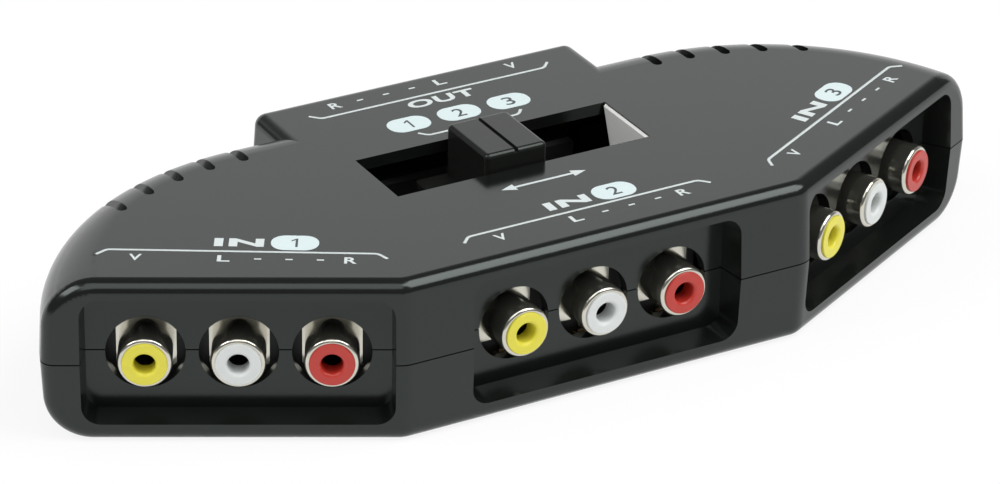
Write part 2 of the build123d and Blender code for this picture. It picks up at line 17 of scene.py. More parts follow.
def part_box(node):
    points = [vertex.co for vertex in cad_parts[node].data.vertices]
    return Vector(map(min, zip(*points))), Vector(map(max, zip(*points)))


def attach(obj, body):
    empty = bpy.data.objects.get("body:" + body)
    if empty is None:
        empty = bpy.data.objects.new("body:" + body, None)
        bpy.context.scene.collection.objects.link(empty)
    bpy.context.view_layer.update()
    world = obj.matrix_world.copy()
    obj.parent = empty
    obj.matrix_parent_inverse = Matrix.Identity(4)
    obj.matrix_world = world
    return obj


bl_info = {
    "name": "Switch Box",
    "version": (1, 0, 0),
    "blender": (4, 5, 0),
    "location": "View3D > Sidebar > Switch Box",
    "description": "Finishes, print and studio of a three-way selector box",
    "category": "Object",
}

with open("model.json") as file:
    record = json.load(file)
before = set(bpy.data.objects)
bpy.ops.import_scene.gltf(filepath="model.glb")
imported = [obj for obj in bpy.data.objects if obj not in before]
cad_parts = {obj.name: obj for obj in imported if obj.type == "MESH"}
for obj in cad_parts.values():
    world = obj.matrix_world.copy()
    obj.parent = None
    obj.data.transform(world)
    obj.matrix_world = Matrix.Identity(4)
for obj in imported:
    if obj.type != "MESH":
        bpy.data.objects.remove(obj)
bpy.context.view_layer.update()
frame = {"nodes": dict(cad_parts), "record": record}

MM = 0.001
INPUT_ROWS = ("input_1", "input_2", "input_3")
ALL_ROWS = INPUT_ROWS + ("output",)
SIGNALS = ("video", "left", "right")
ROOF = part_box("top_shell")[1][2]
PHOTO_WIDTH_PX = 1000.0
SENSOR_WIDTH = 36.0
# Weight of each finer layer of a noise, and the middle of its range from 0 to 1
NOISE_ROUGHNESS = 0.55
NOISE_MIDDLE = 0.5
# Radians that a Wave texture of scale 1 turns through in one unit of length
WAVE_TURN = 20.0


def mount(name):
    """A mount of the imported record, by its name."""
    return next(item for item in frame["record"]["mounts"] if item["name"] == name)


def row_frame(row):
    """Front end of a row's middle barrel, seen from above, and the row's turn about Z."""
    middle = mount(f"{row}_left_barrel")
    outwards = Vector(middle["axis"])
    front = Vector(middle["pos_m"]) + outwards * middle["dims"]["length_mm"] * MM / 2
    return Vector((front.x, front.y, 0.0)), atan2(outwards.x, -outwards.y)


def colour_property(name, description, default):
    """A colour that the user can pick, as linear red, green and blue."""
    return FloatVectorProperty(
        name=name, description=description, default=default, subtype="COLOR", size=3, min=0.0, max=1.0
    )


def length_property(name, description, default_mm):
    """A length in metres with a default given in millimetres."""
    return FloatProperty(
        name=name, description=description, default=default_mm * MM, unit="LENGTH", min=0.0, precision=5
    )


def angle_property(name, description, default_degrees):
    """An angle in radians with a default given in degrees."""
    return FloatProperty(
        name=name, description=description, default=radians(default_degrees), subtype="ANGLE"
    )


def share_property(name, description, default):
    """A number from 0 to 1."""
    return FloatProperty(
        name=name, description=description, default=default, subtype="FACTOR", min=0.0, max=1.0
    )


class CaseLook(bpy.types.PropertyGroup):
    """Finish of the two moulded shells and the knob."""

    colour: colour_property("Plastic", "Colour of the moulded shells", (0.0072, 0.0084, 0.0075))
    knob_colour: colour_property("Knob", "Colour of the selector knob", (0.012, 0.013, 0.0115))
    knob_shine: share_property("Knob shine", "Strength of the knob's reflections", 0.32)
    roughness: share_property("Roughness", "Roughness of the moulded surface", 0.175)
    grain: length_property("Grain", "Size of the moulded grain", 0.28)


class JackLook(bpy.types.PropertyGroup):
    """Finishes of the phono jacks."""

    nickel: colour_property("Nickel", "Colour of the plated barrels", (0.68, 0.66, 0.58))
    video: colour_property("Video", "Colour of the video inserts", (0.79, 0.72, 0.062))
    left: colour_property("Left", "Colour of the left audio inserts", (0.72, 0.75, 0.735))
    right: colour_property("Right", "Colour of the right audio inserts", (0.52, 0.038, 0.026))


class PrintLook(bpy.types.PropertyGroup):
    """Ink and sizes of the marks on the roof."""

    ink: colour_property("Ink", "Colour of the printed lines and letters", (0.66, 0.72, 0.72))
    oval_ink: colour_property("Oval ink", "Colour of the printed ovals", (0.67, 0.78, 0.79))
    numeral_ink: colour_property("Numeral ink", "Colour of the ovals' numerals", (0.06, 0.07, 0.075))
    thickness: length_property("Thickness", "Thickness of the ink", 0.03)
    line_width: length_property("Line", "Width of the bracket lines", 0.5)
    line_bend: length_property("Bend", "Radius where a bracket line turns", 1.4)
    oval_length: length_property("Oval length", "Length of an oval", 7.25)
    oval_width: length_property("Oval width", "Width of an oval", 4.75)
    numeral_height: length_property("Numeral", "Height of a numeral", 2.7)
    word_height: length_property("Word", "Height of the large letters", 2.6)
    letter_height: length_property("Letter", "Height of the small letters", 2.0)


class StageLook(bpy.types.PropertyGroup):
    """Camera and floor."""

    azimuth: angle_property("Azimuth", "Direction of the camera round the box", -29.8)
    elevation: angle_property("Elevation", "Height of the camera above the horizon", 27.45)
    roll: angle_property("Roll", "Turn of the camera about its own axis", 0.91)
    distance: length_property("Distance", "From the target to the camera", 734.7)
    target: FloatVectorProperty(
        name="Target",
        description="Point at the middle of the picture",
        default=(-0.00465, -0.00604, 0.015),
        size=3,
        subtype="TRANSLATION",
    )
    focal_pixels: FloatProperty(
        name="Focal length", description="In pixels of the photograph", default=4704.9
    )
    floor_colour: colour_property("Floor", "Colour of the floor", (0.9, 0.9, 0.9))


class SwitchBoxLook(bpy.types.PropertyGroup):
    """All settings of the box."""

    case: PointerProperty(type=CaseLook)
    jacks: PointerProperty(type=JackLook)
    marks: PointerProperty(type=PrintLook)
    stage: PointerProperty(type=StageLook)


class Number:
    """A number socket of a finish. Arithmetic on it adds Math nodes."""

    def __init__(self, finish, socket):
        self.finish = finish
        self.socket = socket

    def _math(self, operation, first, second):
        node = self.finish.node("ShaderNodeMath", {"operation": operation}, {0: first, 1: second})
        return Number(self.finish, node.outputs[0])

    def __add__(self, other):
        return self._math("ADD", self, other)

    def __radd__(self, other):
        return self._math("ADD", other, self)

    def __sub__(self, other):
        return self._math("SUBTRACT", self, other)

    def __rsub__(self, other):
        return self._math("SUBTRACT", other, self)

    def __mul__(self, other):
        return self._math("MULTIPLY", self, other)

    def __rmul__(self, other):
        return self._math("MULTIPLY", other, self)

    def least(self, other):
        """The smaller of two numbers."""
        return self._math("MINIMUM", self, other)


class Finish:
    """A material under construction, with the few nodes that the finishes share."""

    def __init__(self, name):
        self.material = bpy.data.materials.new(name)
        self.material.use_nodes = True
        self.tree = self.material.node_tree
        self.tree.nodes.clear()
        self.output = self.node("ShaderNodeOutputMaterial")
        self.place = self.node("ShaderNodeTexCoord").outputs["Object"]

    def node(self, kind, settings=None, inputs=None):
        """Add a node, set its settings, then set or link its sockets."""
        node = self.tree.nodes.new(kind)
        for key, value in (settings or {}).items():
            setattr(node, key, value)
        for key, value in (inputs or {}).items():
            self.feed(node.inputs[key], value)
        return node

    def feed(self, socket, value):
        """Link a socket to a node's output, or set its value."""
        if isinstance(value, Number):
            value = value.socket
        if isinstance(value, bpy.types.NodeSocket):
            self.tree.links.new(value, socket)
        elif socket.type == "RGBA":
            socket.default_value = (*value, 1.0)
        else:
            socket.default_value = value

    def noise(self, size, detail, axis_scale=(1.0, 1.0, 1.0)):
        """Noise from 0 to 1 with lumps of about size metres; an axis scale under 1 draws them out."""
        mapping = self.node("ShaderNodeMapping", None, {"Vector": self.place, "Scale": axis_scale})
        inputs = {
            "Vector": mapping.outputs[0],
            "Scale": 1.0 / size,
            "Detail": detail,
            "Roughness": NOISE_ROUGHNESS,
        }
        return Number(self, self.node("ShaderNodeTexNoise", None, inputs).outputs[0])

    def mix(self, share, first, second):
        """Colour between first and second. The Mix node tells its colour sockets by index alone."""
        node = self.node("ShaderNodeMix", {"data_type": "RGBA"}, {0: share, 6: first, 7: second})
        return node.outputs[2]

    def bump(self, height, depth, strength):
        """Normal that follows a height of the given depth in metres."""
        inputs = {"Height": height, "Distance": depth, "Strength": strength}
        return self.node("ShaderNodeBump", None, inputs).outputs[0]

    def surface(self, **inputs):
        """Close the finish with a Principled shader and return the material."""
        named = {}
        for key, value in inputs.items():
            named[key.replace("_", " ").title().replace("Ior", "IOR")] = value
        shader = self.node("ShaderNodeBsdfPrincipled", None, named)
        self.feed(self.output.inputs["Surface"], shader.outputs[0])
        return self.material


def shaded(colour, level):
    """The colour with its light scaled to the given level."""
    return tuple(channel * level for channel in colour)


def moulded_plastic(name, colour, roughness, grain, shine=0.5):
    """Injection-moulded plastic: fine eroded grain, slight clouds of shade and gloss, a cool shine."""
    cloud_size = 22 * MM
    cloud_share = 0.6
    darkest, lightest = 0.82, 1.18
    cloud_gloss, grain_gloss = 0.05, 0.04
    finish = Finish(name)
    grains = finish.noise(grain, detail=3.0)
    clouds = finish.noise(cloud_size, detail=3.0)
    cover = clouds * cloud_share + grains * (1 - cloud_share)
    gloss = (clouds - NOISE_MIDDLE) * cloud_gloss + (grains - NOISE_MIDDLE) * grain_gloss
    return finish.surface(
        base_color=finish.mix(cover, shaded(colour, darkest), shaded(colour, lightest)),
        roughness=roughness + gloss,
        normal=finish.bump(grains, depth=0.006 * MM, strength=0.5),
        specular_ior_level=shine,
        specular_tint=(0.9, 1.0, 0.955),
    )


def plated_metal(name, colour, roughness):
    """Bright plate with a fine grain, a faint tarnish and a thin dull film."""
    grain_size = 0.5 * MM
    tarnish_size = 3.0 * MM
    tarnished = 0.72
    grain_gloss, tarnish_gloss = 0.08, 0.06
    finish = Finish(name)
    grains = finish.noise(grain_size, detail=2.0)
    tarnish = finish.noise(tarnish_size, detail=4.0)
    return finish.surface(
        base_color=finish.mix(1 - tarnish * tarnish, shaded(colour, tarnished), colour),
        metallic=0.95,
        roughness=roughness + grains * grain_gloss + tarnish * tarnish_gloss,
        normal=finish.bump(grains, depth=0.0015 * MM, strength=0.4),
    )


def tin_plate(name, colour):
    """Dull tinned sheet with faint rolling lines along Y."""
    line_size = 0.6 * MM
    line_shade = 0.9
    line_gloss = 0.12
    finish = Finish(name)
    lines = finish.noise(line_size, detail=4.0, axis_scale=(1.0, 0.15, 1.0))
    return finish.surface(
        base_color=finish.mix(lines, shaded(colour, line_shade), colour),
        metallic=0.1,
        roughness=0.42 + lines * line_gloss,
        normal=finish.bump(lines, depth=0.005 * MM, strength=0.4),
    )


def depth_in_rows(finish):
    """How far a point lies behind the front of the jack row that is nearest to it, in metres."""
    depths = []
    for row in ALL_ROWS:
        socket = mount(f"{row}_left_socket")
        axis = Vector(socket["axis"])
        front = Vector(socket["pos_m"]).dot(axis) + socket["dims"]["length_mm"] * MM / 2
        sides = {0: finish.place, 1: axis}
        product = finish.node("ShaderNodeVectorMath", {"operation": "DOT_PRODUCT"}, sides)
        depths.append(front - Number(finish, product.outputs["Value"]))
    return reduce(Number.least, depths)


def insert_plastic(name, colour):
    """Glossy dyed insulator with faint flow marks, and painted shade that darkens the bore where the
    contact sits.
    """
    flow_size = 1.6 * MM
    fine_size = 0.18 * MM
    flow_shade = 0.93
    flow_gloss = 0.1
    # Painted shade: the insert turns nearly black deep in its bore, from a little in front of the contact
    # inwards
    bore_painted_shade = 0.06
    painted_shade_fade = 0.4 * MM
    contact_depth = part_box("input_2_left_contact")[0][1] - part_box("input_2_left_insert")[0][1]
    finish = Finish(name)
    flow = finish.noise(flow_size, detail=3.0)
    fine = finish.noise(fine_size, detail=2.0)
    painted_shade_range = {
        "Value": depth_in_rows(finish),
        "From Min": contact_depth - painted_shade_fade,
        "From Max": contact_depth,
    }
    # Share of the painted shade in the bore, from none in front of the contact to full at its depth
    painted_shade_share = finish.node("ShaderNodeMapRange", {"interpolation_type": "SMOOTHSTEP"}, painted_shade_range).outputs[0]
    unshaded_colour = finish.mix(flow, shaded(colour, flow_shade), colour)
    return finish.surface(
        base_color=finish.mix(painted_shade_share, unshaded_colour, shaded(colour, bore_painted_shade)),
        roughness=0.26 + flow * flow_gloss,
        normal=finish.bump(fine, depth=0.004 * MM, strength=0.4),
    )


def printed_ink(name, colour):
    """Screen-printed ink, thin enough for the grain under it to show."""
    grain_size = 0.3 * MM
    wear_size = 5.0 * MM
    wear_share = 0.5
    worn = 0.88
    wear_gloss = 0.1
    finish = Finish(name)
    grains = finish.noise(grain_size, detail=3.0)
    wear = finish.noise(wear_size, detail=4.0)
    cover = grains * (1 - wear_share) + wear * wear_share
    return finish.surface(
        base_color=finish.mix(cover, shaded(colour, worn), colour),
        roughness=0.5 + wear * wear_gloss,
        normal=finish.bump(grains, depth=0.01 * MM, strength=0.4),
    )


def board_laminate(name):
    """Pressed paper laminate of the board: brown, with fibres along X."""
    fibre_size = 1.2 * MM
    cloud_size = 18 * MM
    fibre_share = 0.7
    fibre_gloss = 0.16
    dark_brown, light_brown = (0.2, 0.105, 0.032), (0.36, 0.21, 0.075)
    finish = Finish(name)
    fibres = finish.noise(fibre_size, detail=5.0, axis_scale=(0.25, 1.0, 1.0))
    clouds = finish.noise(cloud_size, detail=2.0)
    cover = fibres * fibre_share + clouds * (1 - fibre_share)
    return finish.surface(
        base_color=finish.mix(cover, dark_brown, light_brown),
        roughness=0.42 + fibres * fibre_gloss,
        normal=finish.bump(fibres, depth=0.02 * MM, strength=0.5),
    )


def screw_plate(name):
    """Zinc-plated screw steel with thread rings along Z."""
    thread_pitch = 0.69 * MM
    tarnish_size = 0.8 * MM
    tarnish_gloss = 0.16
    dull_zinc, bright_zinc = (0.42, 0.42, 0.41), (0.6, 0.6, 0.58)
    finish = Finish(name)
    scale = 2 * pi / (WAVE_TURN * thread_pitch)
    wave = finish.node(
        "ShaderNodeTexWave", {"bands_direction": "Z"}, {"Vector": finish.place, "Scale": scale}
    )
    tarnish = finish.noise(tarnish_size, detail=4.0)
    return finish.surface(
        base_color=finish.mix(tarnish, dull_zinc, bright_zinc),
        metallic=1.0,
        roughness=0.3 + tarnish * tarnish_gloss,
        normal=finish.bump(wave.outputs["Fac"], depth=0.12 * MM, strength=0.6),
    )


def dress(node_names, material):
    """Give CAD nodes a finish."""
    for name in node_names:
        node = frame["nodes"][name]
        node.data.materials.clear()
        node.data.materials.append(material)


def new_object(name, data):
    """An object of the scene with the given data."""
    item = bpy.data.objects.new(name, data)
    bpy.context.scene.collection.objects.link(item)
    return item


def plain_mesh(item):
    """The mesh that Blender makes of an object."""
    evaluated = item.evaluated_get(bpy.context.evaluated_depsgraph_get())
    return bpy.data.meshes.new_from_object(evaluated)


def add_piece(name, mesh, body, material=None):
    """Make a mesh a finished piece that rides on a body."""
    piece = new_object(name, mesh)
    if material is not None:
        mesh.materials.clear()
        mesh.materials.append(material)
    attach(piece, body)


def join_meshes(name, parts):
    """One mesh from several, each with the transform that places it."""
    joined = bmesh.new()
    for mesh, place in parts:
        mesh.transform(place)
        joined.from_mesh(mesh)
        bpy.data.meshes.remove(mesh)
    result = bpy.data.meshes.new(name)
    joined.to_mesh(result)
    joined.free()
    return result


class Growth:
    """A Geometry Nodes tree under construction, from its input geometry to a realized mesh."""

    def __init__(self, name, sizes):
        self.tree = bpy.data.node_groups.new(name, "GeometryNodeTree")
        face = self.tree.interface
        face.new_socket("Geometry", in_out="INPUT", socket_type="NodeSocketGeometry")
        self.sizes = sizes
        self.keys = {}
        for size in sizes:
            socket = face.new_socket(size, in_out="INPUT", socket_type="NodeSocketFloat")
            self.keys[size] = socket.identifier
        face.new_socket("Geometry", in_out="OUTPUT", socket_type="NodeSocketGeometry")
        self.inputs = self.tree.nodes.new("NodeGroupInput").outputs
        self.output = self.tree.nodes.new("NodeGroupOutput")

    def node(self, kind, settings=None, inputs=None):
        """Add a node, set its settings, then set or link its sockets."""
        node = self.tree.nodes.new(kind)
        for key, value in (settings or {}).items():
            setattr(node, key, value)
        for key, value in (inputs or {}).items():
            if isinstance(value, bpy.types.NodeSocket):
                self.tree.links.new(value, node.inputs[key])
            else:
                node.inputs[key].default_value = value
        return node

    def grow(self, geometry, seed_mesh, material):
        """Realize the geometry, give it its material and return it as a plain mesh."""
        whole = self.node("GeometryNodeRealizeInstances", None, {"Geometry": geometry}).outputs[0]
        dressed = self.node("GeometryNodeSetMaterial", None, {"Geometry": whole, "Material": material})
        self.tree.links.new(dressed.outputs[0], self.output.inputs[0])
        seed = new_object(self.tree.name, seed_mesh)
        modifier = seed.modifiers.new(self.tree.name, "NODES")
        modifier.node_group = self.tree
        for size, key in self.keys.items():
            modifier[key] = self.sizes[size]
        mesh = plain_mesh(seed)
        bpy.data.objects.remove(seed)
        bpy.data.meshes.remove(seed_mesh)
        return mesh


def seed_points(places, turns):
    """Mesh of loose points, each with a turn about Z in the attribute named turn."""
    mesh = bpy.data.meshes.new("seed_points")
    mesh.from_pydata([tuple(place) for place in places], [], [])
    attribute = mesh.attributes.new("turn", "FLOAT_VECTOR", "POINT")
    for index, turn in enumerate(turns):
        attribute.data[index].vector = (0.0, 0.0, turn)
    return mesh


def on_points(growth, shape):
    """Place a shape on the tree's points, turned by their turn."""
    turn = growth.node("GeometryNodeInputNamedAttribute", {"data_type": "FLOAT_VECTOR"}, {"Name": "turn"})
    points = growth.inputs["Geometry"]
    inputs = {"Points": points, "Instance": shape, "Rotation": turn.outputs[0]}
    return growth.node("GeometryNodeInstanceOnPoints", None, inputs).outputs[0]


def thickened(growth, face):
    """A closed sheet of the tree's Thickness on the given faces."""
    merge_distance = 1e-7
    flat = growth.node("GeometryNodeRealizeInstances", None, {"Geometry": face}).outputs[0]
    thickness = growth.inputs["Thickness"]
    extrusion = {"Mesh": flat, "Offset Scale": thickness, "Individual": False}
    raised = growth.node("GeometryNodeExtrudeMesh", None, extrusion).outputs[0]
    under = growth.node("GeometryNodeFlipFaces", None, {"Mesh": flat}).outputs[0]
    both = growth.node("GeometryNodeJoinGeometry")
    growth.tree.links.new(under, both.inputs[0])
    growth.tree.links.new(raised, both.inputs[0])
    merging = {"Geometry": both.outputs[0], "Distance": merge_distance}
    return growth.node("GeometryNodeMergeByDistance", None, merging).outputs[0]


def grow_ovals(places, turns, marks, material):
    """Thin printed ovals with nearly half-round ends."""
    end_share = 0.47
    arc_points = 14
    sizes = {"Length": marks.oval_length, "Width": marks.oval_width, "Thickness": marks.thickness}
    growth = Growth("ovals", sizes)
    width = growth.inputs["Width"]
    sides = {"Width": growth.inputs["Length"], "Height": width}
    outline = growth.node("GeometryNodeCurvePrimitiveQuadrilateral", None, sides).outputs[0]
    radius = growth.node("ShaderNodeMath", {"operation": "MULTIPLY"}, {0: width, 1: end_share}).outputs[0]
    rounding = {"Curve": outline, "Count": arc_points, "Radius": radius}
    rounded = growth.node("GeometryNodeFilletCurve", {"mode": "POLY"}, rounding).outputs[0]
    face = growth.node("GeometryNodeFillCurve", {"mode": "NGONS"}, {"Curve": rounded}).outputs[0]
    return growth.grow(thickened(growth, on_points(growth, face)), seed_points(places, turns), material)


def grow_brackets(paths, marks, material):
    """Printed lines that follow the given paths, with rounded turns."""
    arc_points = 8
    sizes = {"Width": marks.line_width, "Bend": marks.line_bend, "Thickness": marks.thickness}
    growth = Growth("brackets", sizes)
    curve = growth.node("GeometryNodeMeshToCurve", None, {"Mesh": growth.inputs["Geometry"]}).outputs[0]
    bend = growth.inputs["Bend"]
    rounding = {"Curve": curve, "Count": arc_points, "Radius": bend, "Limit Radius": True}
    bent = growth.node("GeometryNodeFilletCurve", {"mode": "POLY"}, rounding).outputs[0]
    sides = {"Width": growth.inputs["Width"], "Height": growth.inputs["Thickness"]}
    profile = growth.node("GeometryNodeCurvePrimitiveQuadrilateral", None, sides).outputs[0]
    sweep = {"Curve": bent, "Profile Curve": profile, "Fill Caps": True}
    swept = growth.node("GeometryNodeCurveToMesh", None, sweep).outputs[0]
    vertices = [point for path in paths for point in path]
    edges = []
    start = 0
    for path in paths:
        edges += [(start + step, start + step + 1) for step in range(len(path) - 1)]
        start += len(path)
    seed = bpy.data.meshes.new("bracket_paths")
    seed.from_pydata(vertices, edges, [])
    return growth.grow(swept, seed, material)


def grow_solder(places, foot, tip, height, material):
    """Small cones of solder around the tails, with their foot on the underside of the board."""
    round_points = 20
    side_rings = 3
    growth = Growth("solder", {"Foot": foot, "Tip": tip, "Height": height})
    shape = {
        "Vertices": round_points,
        "Side Segments": side_rings,
        "Radius Top": growth.inputs["Foot"],
        "Radius Bottom": growth.inputs["Tip"],
        "Depth": growth.inputs["Height"],
    }
    cone = growth.node("GeometryNodeMeshCone", None, shape).outputs[0]
    seed = seed_points(places, [0.0] * len(places))
    return growth.grow(on_points(growth, cone), seed, material)


def text_mesh(body, width, height, thickness, weight):
    """Flat letters that fill a box on the origin, as a thin solid; weight swells the strokes."""
    capital_share = 0.7
    letter_spacing = 1.1
    curve_steps = 6
    curve = bpy.data.curves.new(f"text_{body}", "FONT")
    curve.body = body
    curve.size = height / capital_share
    curve.space_character = letter_spacing
    curve.offset = height * weight
    curve.extrude = thickness / 2
    curve.resolution_u = curve_steps
    writer = new_object(curve.name, curve)
    mesh = plain_mesh(writer)
    bpy.data.objects.remove(writer)
    bpy.data.curves.remove(curve)
    low = Vector(min(vertex.co[axis] for vertex in mesh.vertices) for axis in range(3))
    high = Vector(max(vertex.co[axis] for vertex in mesh.vertices) for axis in range(3))
    fit = Matrix.Diagonal((width / (high.x - low.x), height / (high.y - low.y), 1.0, 1.0))
    mesh.transform(fit @ Matrix.Translation(-(low + high) / 2))
    return mesh


def flat_mesh(outline, thickness):
    """Thin solid on the origin with the given outline, which runs to the left."""
    shape = bmesh.new()
    below = [shape.verts.new((x, y, -thickness / 2)) for x, y in outline]
    above = [shape.verts.new((x, y, thickness / 2)) for x, y in outline]
    shape.faces.new(above)
    shape.faces.new(below[::-1])
    for index in range(len(outline)):
        after = (index + 1) % len(outline)
        shape.faces.new((below[index], below[after], above[after], above[index]))
    mesh = bpy.data.meshes.new("flat_mark")
    shape.to_mesh(mesh)
    shape.free()
    return mesh


class SWITCH_BOX_OT_case(bpy.types.Operator):
    """Finish the two shells"""

    bl_idname = "switch_box.case"
    bl_label = "Case shells"

    def execute(self, context):
        look = context.scene.switch_box.case
        plastic = moulded_plastic("case_plastic", look.colour, look.roughness, look.grain)
        dress(("top_shell", "bottom_shell"), plastic)
        return {"FINISHED"}


class SWITCH_BOX_OT_screws(bpy.types.Operator):
    """Finish the case and board screws"""

    bl_idname = "switch_box.screws"
    bl_label = "Screws"

    def execute(self, context):
        dress(("case_screws", "board_screws"), screw_plate("screw_steel"))
        return {"FINISHED"}


class SWITCH_BOX_OT_jacks(bpy.types.Operator):
    """Finish the barrels, inserts, contacts and bodies of the jacks"""

    bl_idname = "switch_box.jacks"
    bl_label = "Phono jacks"

    # Painted shade: the contacts are coloured near black for the shade deep in the sockets, not the
    # colour of bright brass
    contact_colour = (0.05, 0.042, 0.028)
    body_colour = (0.02, 0.02, 0.02)

    def execute(self, context):
        look = context.scene.switch_box.jacks
        nickel = plated_metal("nickel", look.nickel, roughness=0.1)
        # The contacts' finish carries painted shade: a near-black brass
        brass = plated_metal("contact_brass", self.contact_colour, roughness=0.5)
        black = moulded_plastic("jack_moulding", self.body_colour, roughness=0.5, grain=0.4 * MM)
        dress([f"{row}_jack_body" for row in ALL_ROWS], black)
        for signal in SIGNALS:
            insert = insert_plastic(f"{signal}_insert", getattr(look, signal))
            dress([f"{row}_{signal}_shell" for row in ALL_ROWS], nickel)
            dress([f"{row}_{signal}_insert" for row in ALL_ROWS], insert)
            dress([f"{row}_{signal}_contact" for row in ALL_ROWS], brass)
        return {"FINISHED"}


class SWITCH_BOX_OT_board(bpy.types.Operator):
    """Finish the circuit board and solder the jacks to it"""

    bl_idname = "switch_box.board"
    bl_label = "Circuit board"

    solder_colour = (0.55, 0.55, 0.54)
    solder_foot = 1.25 * MM
    solder_tip = 0.45 * MM
    solder_height = 1.0 * MM
    tail_half = 0.3 * MM

    def execute(self, context):
        dress(["circuit_board"], board_laminate("board_laminate"))
        solder = plated_metal("solder", self.solder_colour, roughness=0.3)
        tip_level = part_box("circuit_board")[0][2] - self.solder_height
        tails = [self.tail_distance(piece) for piece in ("shell", "contact")]
        places = []
        for row in ALL_ROWS:
            for signal in SIGNALS:
                barrel = mount(f"{row}_{signal}_barrel")
                for tail in tails:
                    spot = Vector(barrel["pos_m"]) - Vector(barrel["axis"]) * tail
                    places.append((spot.x, spot.y, tip_level))
        mesh = grow_solder(places, self.solder_foot, self.solder_tip, self.solder_height, solder)
        add_piece("solder_joints", mesh, "case")
        return {"FINISHED"}

    def tail_distance(self, piece):
        """From the middle of a barrel back to the tail of its shell or contact."""
        tail_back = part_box(f"input_2_left_{piece}")[1][1]
        return tail_back - self.tail_half - mount("input_2_left_barrel")["pos_m"][1]


class SWITCH_BOX_OT_switch(bpy.types.Operator):
    """Finish the slide switch and its knob"""

    bl_idname = "switch_box.switch"
    bl_label = "Slide switch"

    frame_colour = (0.86, 0.87, 0.84)
    brass_colour = (0.62, 0.47, 0.2)
    body_colour = (0.06, 0.062, 0.058)

    def execute(self, context):
        look = context.scene.switch_box.case
        steel = tin_plate("frame_steel", self.frame_colour)
        brass = plated_metal("switch_brass", self.brass_colour, roughness=0.28)
        black = moulded_plastic("switch_moulding", self.body_colour, roughness=0.55, grain=0.4 * MM)
        knob = moulded_plastic(
            "knob_plastic", look.knob_colour, look.roughness, look.grain, look.knob_shine
        )
        dress(("switch_frame", "detent_spring"), steel)
        dress(("switch_terminals", "switch_wipers"), brass)
        dress(("switch_body", "switch_carriage"), black)
        dress(["selector_knob"], knob)
        return {"FINISHED"}


